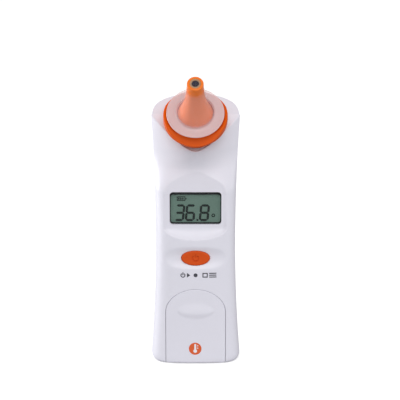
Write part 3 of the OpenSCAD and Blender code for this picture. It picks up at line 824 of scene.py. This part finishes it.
LCD_FACE = -6.9
DIGIT_W, DIGIT_H, BAR_W, SLANT = 3.45, 6.7, 1.05, math.radians(6)
DIGIT_LOW = 66.75
SEGMENTS = {"a": (0.5, 1, 0), "b": (1, 0.75, 1), "c": (1, 0.25, 1), "d": (0.5, 0, 0), "e": (0, 0.25, 1),
            "f": (0, 0.75, 1), "g": (0.5, 0.5, 0)}     # share of width and height, and 1 if upright
SHOWN = (("abgcd", -9.2), ("afgedc", -4.4), ("abcdefg", 1.9))   # 3, 6 and 8, and their left edges
bar_half = DIGIT_W / 2 - 0.06
bar = prism("bar", [(bar_half, 0), (bar_half - BAR_W / 2, BAR_W / 2), (BAR_W / 2 - bar_half, BAR_W / 2),
                    (-bar_half, 0), (BAR_W / 2 - bar_half, -BAR_W / 2), (bar_half - BAR_W / 2, -BAR_W / 2)],
            -0.05 - SEAM_Y, 0.02 - SEAM_Y)
spots = []
for segments, left in SHOWN:
    for segment in segments:
        across, up, upright = SEGMENTS[segment]
        z = up * DIGIT_H
        spots.append((left + across * DIGIT_W + z * math.tan(SLANT), LCD_FACE, DIGIT_LOW + z,
                      (math.pi / 2 + SLANT) * upright))
digits = copies_of("lcd_digits", bar, spots, crystal)
finished(digits, crystal, "housing", slot="lcd")


def on_lcd(x, z):
    return np.full(np.shape(x), LCD_FACE)


def frame_of(x0, z0, x1, z1, line):
    """Four bars round a rectangle."""
    return [[(x0, z0), (x1, z0), (x1, z0 + line), (x0, z0 + line)],
            [(x0, z1 - line), (x1, z1 - line), (x1, z1), (x0, z1)],
            [(x0, z0 + line), (x0 + line, z0 + line), (x0 + line, z1 - line), (x0, z1 - line)],
            [(x1 - line, z0 + line), (x1, z0 + line), (x1, z1 - line), (x1 - line, z1 - line)]]


def ring_of(x, z, r, line, start=0, end=330, pieces=12):
    """A ring, or part of one, in short four-sided pieces."""
    bounds = np.linspace(start, end, pieces + 1)
    return [arc(x, z, r, a, b, 2) + arc(x, z, r - line, b, a, 2) for a, b in zip(bounds, bounds[1:])]


icons = frame_of(-8.4, 75.6, -4.6, 77.6, 0.35) + [[(-4.5, 76.2), (-4.1, 76.2), (-4.1, 77), (-4.5, 77)]]
icons += [[(x, 76.15), (x + 0.65, 76.15), (x + 0.65, 77.05), (x, 77.05)] for x in (-7.85, -6.95, -6.05)]
icons += [arc(0.85, 66.8, 0.5, 0, 330, 12)] + ring_of(8.0, 68.9, 0.85, 0.45, 0, 360)
finished(printed("lcd_icons", icons, on_lcd, 0.05), crystal, "housing", slot="lcd")

# Zebra strip: silicone rubber with thin conducting layers, every 0.1 mm in truth, drawn at 0.6 mm.
zebra, tree, shader = finish_of("silicone zebra strip", "#d99aa4", 0.6)
where = add(tree, "ShaderNodeTexCoord").outputs["Object"]
layers = add(tree, "ShaderNodeTexWave", {"Vector": where, "Scale": 0.5 / (0.6 * MM) / math.pi})
stripes = add(tree, "ShaderNodeMix", {"Factor": layers.outputs["Fac"]}, data_type="RGBA")
stripes.inputs[6].default_value, stripes.inputs[7].default_value = linear("#d99aa4"), linear("#2b2426")
tree.links.new(stripes.outputs[2], shader.inputs["Base Color"])
dress(zebra, "zebra_strips")


# ---------------------------------------------------------------- circuit board
# Glass-epoxy laminate under green solder mask, with its processor under a blob of black resin, two
# tact switches, a piezo buzzer and two small screws. All of it is shut inside the housing.
solder_mask, tree, shader = finish_of("FR4 with green solder mask", "#1f6b45", 0.35, Coat_Weight=0.3)
where = add(tree, "ShaderNodeTexCoord").outputs["Object"]
# Copper tracks under the mask, 0.25 mm wide in truth, drawn about 0.5 mm wide.
tracks = add(tree, "ShaderNodeTexBrick", {"Vector": where, "Scale": 1 / (6 * MM), "Mortar Size": 0.04,
                                          "Color1": linear("#1d6541"), "Color2": linear("#216f48"),
                                          "Mortar": linear("#3a8a5f")})
tree.links.new(tracks.outputs["Color"], shader.inputs["Base Color"])
dress(solder_mask, "main_board")
resin, tree, shader = finish_of("epoxy resin black", "#16171a", 0.4)
grained(tree, shader, 0.5, 0.02, ("#131417", "#1b1c20"), 0.4)
dress(resin, "board_chips", "buzzer")
switch_metal, tree, shader = finish_of("steel switch frame", "#b9babc", 0.35, Metallic=1.0)
brushed(tree, shader, 0.3, 0.004)
dress(switch_metal, "mode_switch", "scan_switch")
board_screw_spots = [(x, -2.3, 57.5, 0) for x in (-11, 11)]
board_screws = copies_of("board_screws_zinc", screw_part(0.7, 1.5, 4.2), board_screw_spots, zinc_steel, math.tau)
finished(board_screws, zinc_steel, "housing", "board_screws", "screw_steel")


# ---------------------------------------------------------------- mode button and its print
# A low oval button of glossy orange PBT in its finger dish, with a power sign moulded into it. Grey
# signs for power and memory are pad-printed under it, either side of a dot.
pbt_orange, tree, shader = finish_of("PBT orange", "#d9541e", 0.36, IOR=1.55, Specular_IOR_Level=0.1)
grained(tree, shader, 0.3, 0.008, ("#d5501b", "#dd5821"), 0.35)
MODE_FACE, MODE_BACK = -11.2, -6.9
mode_rings = [(1.12, MODE_BACK), (1.12, MODE_BACK - 0.4), (1, MODE_BACK - 0.4), (1, MODE_FACE + 0.5),
              (0.992, MODE_FACE + 0.3), (0.965, MODE_FACE + 0.12), (0.92, MODE_FACE + 0.02),
              (0.86, MODE_FACE), (0.7, MODE_FACE + 0.05), (0.5, MODE_FACE + 0.14), (0.25, MODE_FACE + 0.2),
              (0.1, MODE_FACE + 0.21)]
button = ringed("mode_button_pbt", [(k * MODE_W / 2, k * MODE_H / 2, y) for k, y in mode_rings], 0, MODE_Z)
sign = [prism("sign", outline, MODE_FACE - 1, MODE_FACE + 0.6)
        for outline in (arc(0, MODE_Z, 1.55, 125, 415, 25) + arc(0, MODE_Z, 1.1, 415, 125, 25),
                        [(-0.22, MODE_Z + 0.3), (0.22, MODE_Z + 0.3), (0.22, MODE_Z + 1.8), (-0.22, MODE_Z + 1.8)])]
shaped(button, sign, "DIFFERENCE")
finished(button, pbt_orange, "mode_button", "mode_button", "button_orange")

ink_grey = ink("ink grey pad-printed", "#44444d")
PRINT_Z, MARK_R, LINE = 42.2, 1.15, 0.47
marks = [arc(0, PRINT_Z, 0.9, 0, 340, 18)]
marks += ring_of(-5.7, PRINT_Z, MARK_R, LINE, 125, 415, 12)
marks += [[(-5.7 - LINE / 2, PRINT_Z), (-5.7 + LINE / 2, PRINT_Z), (-5.7 + LINE / 2, PRINT_Z + 1.35),
           (-5.7 - LINE / 2, PRINT_Z + 1.35)],
          [(-3.9, PRINT_Z - 1.1), (-2.4, PRINT_Z), (-3.9, PRINT_Z + 1.1)]]
marks += frame_of(3.1, PRINT_Z - 1.1, 5.5, PRINT_Z + 1.1, LINE)
marks += [[(6.1, z), (9.4, z), (9.4, z + LINE), (6.1, z + LINE)]
          for z in (PRINT_Z - 1.1, PRINT_Z - LINE / 2, PRINT_Z + 1.1 - LINE)]
finished(printed("front_marks", marks, front_surface), ink_grey, "housing")


# ---------------------------------------------------------------- scan button
# A round button of the same PBT on the back of the head, for the index finger: a shallow cup with
# fine raised rings, turned into the mould, that keep the finger from sliding off.
SCAN_FACE = 13.5
cup = [(r, SCAN_FACE - 0.55 + 0.5 * (r / 4.6) ** 2 + 0.09 * math.cos(r * math.pi / 0.4))
       for r in np.arange(0.1, 4.0, 0.1)]
scan_rings = [(1.5, 0.7), (1.5, 9.4), (6.6, 9.4), (6.6, 10), (SCAN_R, 10), (SCAN_R, SCAN_FACE - 0.45),
              (5.42, SCAN_FACE - 0.2), (5.2, SCAN_FACE - 0.04), (4.9, SCAN_FACE), (4.5, SCAN_FACE - 0.06)]
scan = ringed("scan_button_pbt", [(r, r, y) for r, y in scan_rings + cup[::-1]], 0, SCAN_Z)
finished(scan, pbt_orange, "scan_button", "scan_button", "button_orange")


# ---------------------------------------------------------------- probe nozzle and sensor
# The cone of orange ABS, moulded in one with its root, on a rubber seal; its orange is painted lighter
# than the collar's, as painted light. A gold-plated guide in its tip leads to the sealed infrared sensor,
# which looks out through a dark silicon window.
GUIDE_R, FLANGE_H, TIP_R = 2.4, 12.6, 3.6
TIP_H = FLANGE_H + 23.8


def softened(profile, rounds=3):
    """A closed profile whose corners are cut again and again, until it is a smooth curve."""
    for _ in range(rounds):
        pairs = list(zip(profile, profile[1:] + profile[:1]))
        profile = [(mix(a[0], b[0], t), mix(a[1], b[1], t)) for a, b in pairs for t in (0.25, 0.75)]
    return profile


def cone_r(h, slim=2.2, wide=4.1):
    """Radius of the cone at a height above the end face: a concave flare, then a straight tip."""
    share = np.clip((h - FLANGE_H) / (TIP_H - FLANGE_H), 0, 1)
    return TIP_R - 0.05 + wide * (1 - share) ** slim


cone_heights = np.linspace(FLANGE_H, TIP_H - 0.7, 30)
nozzle_profile = ([(GUIDE_R, -3.2), (8.15, -3.2), (8.15, -2.3), (NOZZLE_ROOT_R, -2.3), (NOZZLE_ROOT_R, FLANGE_H - 0.4)]
                  + [(float(cone_r(h)), float(h)) for h in cone_heights]
                  + [(TIP_R - 0.03, TIP_H - 0.4), (TIP_R - 0.15, TIP_H - 0.12), (TIP_R - 0.4, TIP_H),
                     (GUIDE_R + 0.15, TIP_H), (GUIDE_R, TIP_H - 0.15)])
nozzle = turned("probe_nozzle_abs", nozzle_profile)
# Painted light: this orange is lighter and yellower than the collar's ABS, standing in for the light the cone catches.
nozzle_orange_lit, tree, shader = finish_of("ABS orange polished painted lighter", "#fb7f20", 0.3, IOR=1.53, Specular_IOR_Level=0.12)
grained(tree, shader, 0.3, 0.006, ("#f87a1c", "#fe8426"), 0.3)
finished(nozzle, nozzle_orange_lit, "housing", "probe_nozzle", "probe_orange")

guide = turned("waveguide_gold", [(1.6, TIP_H - 9), (GUIDE_R, TIP_H - 9), (GUIDE_R, TIP_H - 0.2),
                                  (GUIDE_R - 0.1, TIP_H - 0.1), (1.7, TIP_H - 0.1), (1.6, TIP_H - 0.2)], 64)
gold, tree, shader = finish_of("brass gold-plated", "#c6a07c", 0.4, Metallic=1.0)
grained(tree, shader, 0.25, 0.003, ("#bd966f", "#cfab88"), 0.3)
finished(guide, gold, "housing", "waveguide", "guide_gold")
silicon, tree, shader = finish_of("silicon window coated", "#1b1730", 0.3, IOR=1.5)
grained(tree, shader, 0.6, 0.002, ("#171a26", "#241a33"), 0.3)
dress(silicon, "sensor_window")
copper, tree, shader = finish_of("copper turned", "#c98256", 0.3, Metallic=1.0)
brushed(tree, shader, 0.3, 0.004)
dress(copper, "sensor_holder")
dress(nickel, "sensor_can")
rubber, tree, shader = finish_of("silicone rubber black", "#2a2b2e", 0.7)
grained(tree, shader, 0.3, 0.02, ("#27282b", "#303134"), 0.4)
dress(rubber, "nozzle_seal")
polyimide, tree, shader = finish_of("polyimide flex amber", "#c07a2c", 0.3, Coat_Weight=0.4)
brushed(tree, shader, 0.4, 0.01, (30, 1, 1))
dress(polyimide, "sensor_flex")


# ---------------------------------------------------------------- ejector collar
# A flared collar of orange ABS slides along the probe's root and pushes the used cover off. Its
# turned shape is drawn in at the back and cut on a slant across the front, with a rounded lip.
RIM_R, COLLAR_DRAW, COLLAR_HUB, COVER_R = 14.2, 1.0, 9.6, 12.7
SLANT_LOW, SLANT_RISE, LIP_SOFT = 8.0, math.tan(math.radians(25)), 0.35
floor_radii = [(float(r), 10.2) for r in np.linspace(11.6, 9.9, 5)]
collar_profile = softened([(8, 0.3), (8.6, 0.3), (10.3, 0.3), (10.6, 0.4), (10.9, 1.2), (12, 4.2), (13.1, 5.85),
                           (13.9, 7.1), (14.2, 7.6), (14.2, 8.6), (14.2, 9.8), (14.2, 10.8), (14.0, 11.4),
                           (13.4, 11.6), (13.0, 11.4), (12.4, 10.9)] + floor_radii + [
                               (9.6, 10.25), (9.45, 10.6), (9.4, 12.1), (9.2, 12.38), (8.9, 12.4),
                               (8.2, 12.4), (8, 12.3), (8, 11), (8, 1)], 2)
collar = turned("eject_ring_abs", collar_profile, 128)
to_back = AXIS.cross(Vector((1, 0, 0)))
for v in collar.data.vertices:
    out = v.co / MM - AXIS_FOOT
    height = out.dot(AXIS)
    out -= AXIS * height
    back = out.normalized().dot(to_back)
    shift, wide = RIM_R + COLLAR_DRAW - COVER_R, RIM_R + COLLAR_DRAW
    reach = -back * shift + math.sqrt(wide ** 2 - shift ** 2 * (1 - back ** 2))
    squeeze = min(1.0, reach / RIM_R)
    share = ease((out.length - COLLAR_HUB) / (RIM_R - COLLAR_HUB))
    out *= 1 - (1 - squeeze) * float(share)
    slant = SLANT_LOW + (out.dot(to_back) + RIM_R) * SLANT_RISE
    over = height - slant
    if out.length > COLLAR_HUB:
        height = slant + (over - math.sqrt(over ** 2 + LIP_SOFT ** 2)) / 2
    v.co = (AXIS_FOOT + AXIS * height + out) * MM
abs_orange, tree, shader = finish_of("ABS orange", "#dd5809", 0.4, IOR=1.53, Specular_IOR_Level=0.08)
grained(tree, shader, 0.3, 0.008, ("#d85407", "#e25c0c"), 0.35)
finished(outward(collar), abs_orange, "eject_ring", "eject_ring", "probe_orange")


# ---------------------------------------------------------------- probe cover
# A throw-away cover drawn from milky polyethylene film, with a stiff flat flange and a bead round
# its rim. The film is stretched clear over the tip, where the sensor looks through it.
FILM, FILM_GAP = 0.35, 0.12
outer = [(float(cone_r(h, 2, 4.9)) + FILM + FILM_GAP, float(h)) for h in np.linspace(FLANGE_H + 1.3, TIP_H - 0.6, 32)]
inner = [(float(cone_r(h, 2, 4.9)) + FILM_GAP, float(h)) for h in np.linspace(TIP_H - 0.7, FLANGE_H + 1.1, 32)]
cover_profile = [(8.02, FLANGE_H), (9.2, FLANGE_H + 0.08), (12.0, FLANGE_H + 0.12), (12.3, FLANGE_H),
                 (12.55, FLANGE_H + 0.05), (COVER_R, FLANGE_H + 0.25), (COVER_R, FLANGE_H + 0.4),
                 (12.55, FLANGE_H + 0.58), (12.3, FLANGE_H + 0.6), (12.0, FLANGE_H + 0.48),
                 (10.2, FLANGE_H + 0.42), (9.3, FLANGE_H + 0.5), (8.85, FLANGE_H + 0.65), (8.6, FLANGE_H + 0.9)]
cover_profile += outer
cover_profile += [(TIP_R + FILM - 0.1, TIP_H), (TIP_R + 0.05, TIP_H + FILM - 0.05), (TIP_R - 0.4, TIP_H + FILM),
                  (1.5, TIP_H + 0.3), (0.02, TIP_H + 0.28), (0.02, TIP_H + FILM_GAP), (TIP_R - 0.4, TIP_H + FILM_GAP),
                  (TIP_R, TIP_H + 0.02)]
cover_profile += inner
cover = turned("probe_cover_film", cover_profile, 128)
FLANGE_VEIL, CONE_VEIL, TIP_VEIL = 0.5, 0.13, 0.01    # how much one face of the film hides
film, tree, shader = finish_of("polyethylene film milky", "#f4e2e4", 0.3, IOR=1.51)
where = add(tree, "ShaderNodeTexCoord").outputs["Object"]
along = add(tree, "ShaderNodeVectorMath", {0: where, 1: AXIS}, operation="DOT_PRODUCT")
foot_along = AXIS_FOOT.dot(AXIS) * MM
thin = add(tree, "ShaderNodeMapRange", {
    "Value": along.outputs["Value"], "From Min": foot_along + (FLANGE_H + 0.7) * MM,
    "From Max": foot_along + (FLANGE_H + 2.2) * MM, "To Min": FLANGE_VEIL, "To Max": CONE_VEIL})
veil = add(tree, "ShaderNodeMapRange", {
    "Value": along.outputs["Value"], "From Min": foot_along + (TIP_H - 5.5) * MM,
    "From Max": foot_along + (TIP_H - 3) * MM, "To Max": TIP_VEIL})
tree.links.new(thin.outputs[0], veil.inputs["To Min"])
tree.links.new(veil.outputs[0], shader.inputs["Alpha"])
grained(tree, shader, 0.8, 0.02, None, 0.3)
finished(cover, film, "probe_cover", "probe_cover", "cover_film")


# ---------------------------------------------------------------- floor and lights
# A white sweep in a studio: a large soft key from above on the right, a narrow soft box behind the
# left side and a little light from all round. The sweep looks white but throws little light back.
floor_mesh = bpy.data.meshes.new("floor")
floor_mesh.from_pydata([(-9, -9, 0), (9, -9, 0), (9, 9, 0), (-9, 9, 0)], [], [(0, 1, 2, 3)])
floor = bpy.data.objects.new("floor", floor_mesh)
bpy.context.collection.objects.link(floor)
paper, tree, shader = finish_of("floor paper", "#fdfdfd", 0.95, Specular_IOR_Level=0.1)
seen = add(tree, "ShaderNodeLightPath")
shade = add(tree, "ShaderNodeMix", {"Factor": seen.outputs["Is Camera Ray"]}, data_type="RGBA")
shade.inputs[6].default_value, shade.inputs[7].default_value = linear("#c4c4c6"), linear("#fdfdfd")
tree.links.new(shade.outputs[2], shader.inputs["Base Color"])
shader.inputs["Emission Color"].default_value = (1, 1, 1, 1)
glow = add(tree, "ShaderNodeMath", {0: seen.outputs["Is Camera Ray"], 1: 0.35}, operation="MULTIPLY")
tree.links.new(glow.outputs[0], shader.inputs["Emission Strength"])
floor.data.materials.append(paper)
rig.stage(floor)
world = bpy.data.worlds.new("studio")
bpy.context.scene.world = world
world.use_nodes = True
world.node_tree.nodes["Background"].inputs["Color"].default_value = (1, 1, 1, 1)
world.node_tree.nodes["Background"].inputs["Strength"].default_value = 0.45
key = bpy.data.lights.new("key", "SUN")
key.energy, key.angle = 1.5, math.radians(45)
key_lamp = bpy.data.objects.new("key", key)
key_lamp.rotation_euler = Vector((-0.08, 0.75, -0.55)).to_track_quat("-Z", "Y").to_euler()
bpy.context.collection.objects.link(key_lamp)


def soft_box(name, place, size, power):
    lamp = bpy.data.lights.new(name, "AREA")
    lamp.shape, lamp.size, lamp.energy = "SQUARE", size, power
    box = bpy.data.objects.new(name, lamp)
    box.location = place
    box.rotation_euler = (look_at - Vector(place)).to_track_quat("-Z", "Y").to_euler()
    bpy.context.collection.objects.link(box)


soft_box("left edge", (-0.9, 0.3, 0.2), 0.4, 6.5)
soft_box("right side", (1.2, 0.1, 0.3), 0.5, 1.6)

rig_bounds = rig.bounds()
with open("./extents.json", "w") as out:
    json.dump({"cad": [list(c) for c in cad_box], "visual": [list(c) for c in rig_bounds]}, out)
